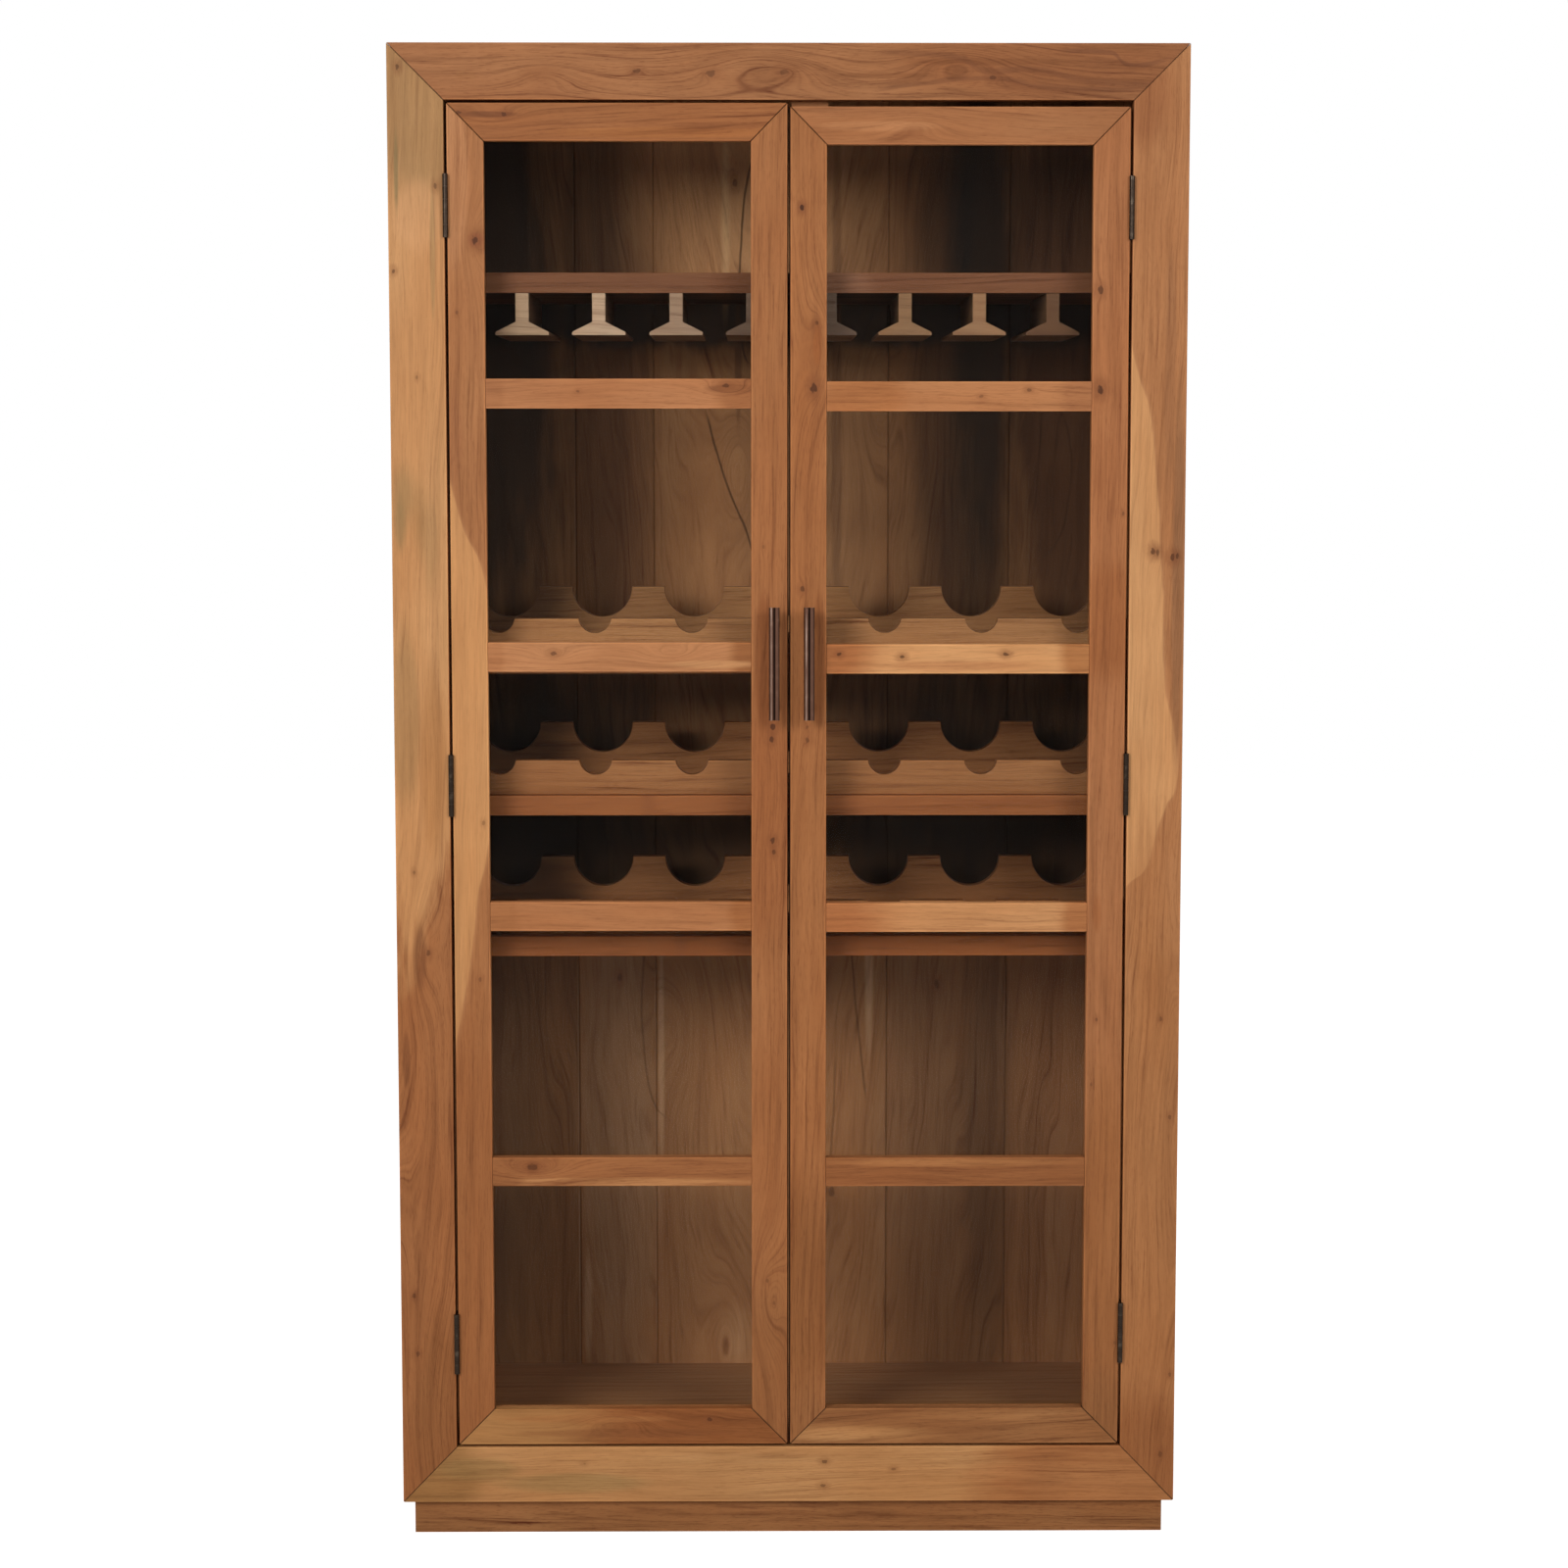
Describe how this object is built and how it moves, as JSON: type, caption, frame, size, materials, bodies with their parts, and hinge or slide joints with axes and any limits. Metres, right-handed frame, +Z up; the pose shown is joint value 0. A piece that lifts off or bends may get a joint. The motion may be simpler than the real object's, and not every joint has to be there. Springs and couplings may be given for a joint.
{
  "type": "wine cabinet",
  "caption": "Tall wooden wine cabinet with two glazed, framed doors, a stemware rack under the top, scalloped bottle rows and a closed lower space on a recessed plinth.",
  "frame": {"origin": "on the floor, under the centre of the cabinet's overall box", "axes": "+Z up, the glazed front faces -Y, +X to the right seen from the front"},
  "size_m": [0.944, 0.43, 1.8],
  "materials": {
    "frame_wood": "satin",
    "door_wood": "satin",
    "case_wood": "satin",
    "interior_wood": "satin",
    "rack_wood": "matte",
    "plinth_wood": "satin",
    "pane_glass": "clear polished",
    "hinge_steel": "dark satin",
    "handle_bronze": "dark bronze, satin"
  },
  "bodies": {
    "cabinet": {"side_panel_left": "case_wood", "side_panel_right": "case_wood", "top_panel": "case_wood", "floor_panel": "interior_wood", "back_panel": "interior_wood", "face_stile_left": "frame_wood", "face_stile_right": "frame_wood", "face_rail_top": "frame_wood", "face_rail_bottom": "frame_wood", "plinth": "plinth_wood", "rack_board": "interior_wood", "glass_rail_1": "rack_wood", "glass_rail_2": "rack_wood", "glass_rail_3": "rack_wood", "glass_rail_4": "rack_wood", "glass_rail_5": "rack_wood", "glass_rail_6": "rack_wood", "glass_rail_7": "rack_wood", "glass_rail_8": "rack_wood", "shelf_1": "interior_wood", "neck_rail_1": "interior_wood", "bottle_rail_1": "interior_wood", "shelf_2": "interior_wood", "neck_rail_2": "interior_wood", "bottle_rail_2": "interior_wood", "shelf_3": "interior_wood", "neck_rail_3": "interior_wood", "bottle_rail_3": "interior_wood", "left_door_hinge_frame_leaf_1": "hinge_steel", "left_door_hinge_frame_leaf_2": "hinge_steel", "left_door_hinge_frame_leaf_3": "hinge_steel", "right_door_hinge_frame_leaf_1": "hinge_steel", "right_door_hinge_frame_leaf_2": "hinge_steel", "right_door_hinge_frame_leaf_3": "hinge_steel"},
    "left_door": {"left_door_hinge_stile": "door_wood", "left_door_meeting_stile": "door_wood", "left_door_top_rail": "door_wood", "left_door_bottom_rail": "door_wood", "left_door_muntin_1": "door_wood", "left_door_muntin_2": "door_wood", "left_door_muntin_3": "door_wood", "left_door_muntin_4": "door_wood", "left_door_glass": "pane_glass", "left_door_handle": "handle_bronze", "left_door_hinge_door_leaf_1": "hinge_steel", "left_door_hinge_door_leaf_2": "hinge_steel", "left_door_hinge_door_leaf_3": "hinge_steel"},
    "right_door": {"right_door_hinge_stile": "door_wood", "right_door_meeting_stile": "door_wood", "right_door_top_rail": "door_wood", "right_door_bottom_rail": "door_wood", "right_door_muntin_1": "door_wood", "right_door_muntin_2": "door_wood", "right_door_muntin_3": "door_wood", "right_door_muntin_4": "door_wood", "right_door_glass": "pane_glass", "right_door_handle": "handle_bronze", "right_door_hinge_door_leaf_1": "hinge_steel", "right_door_hinge_door_leaf_2": "hinge_steel", "right_door_hinge_door_leaf_3": "hinge_steel"}
  },
  "joints": [
    {"name": "left_door_hinge", "type": "hinge", "parent": "cabinet", "child": "left_door", "pos_m": [-0.4042, -0.1886, 0.9225], "axis": [0, 0, -1], "range_deg": [0, 170]},
    {"name": "right_door_hinge", "type": "hinge", "parent": "cabinet", "child": "right_door", "pos_m": [0.4042, -0.1886, 0.9225], "axis": [0, 0, 1], "range_deg": [0, 170]}
  ]
}
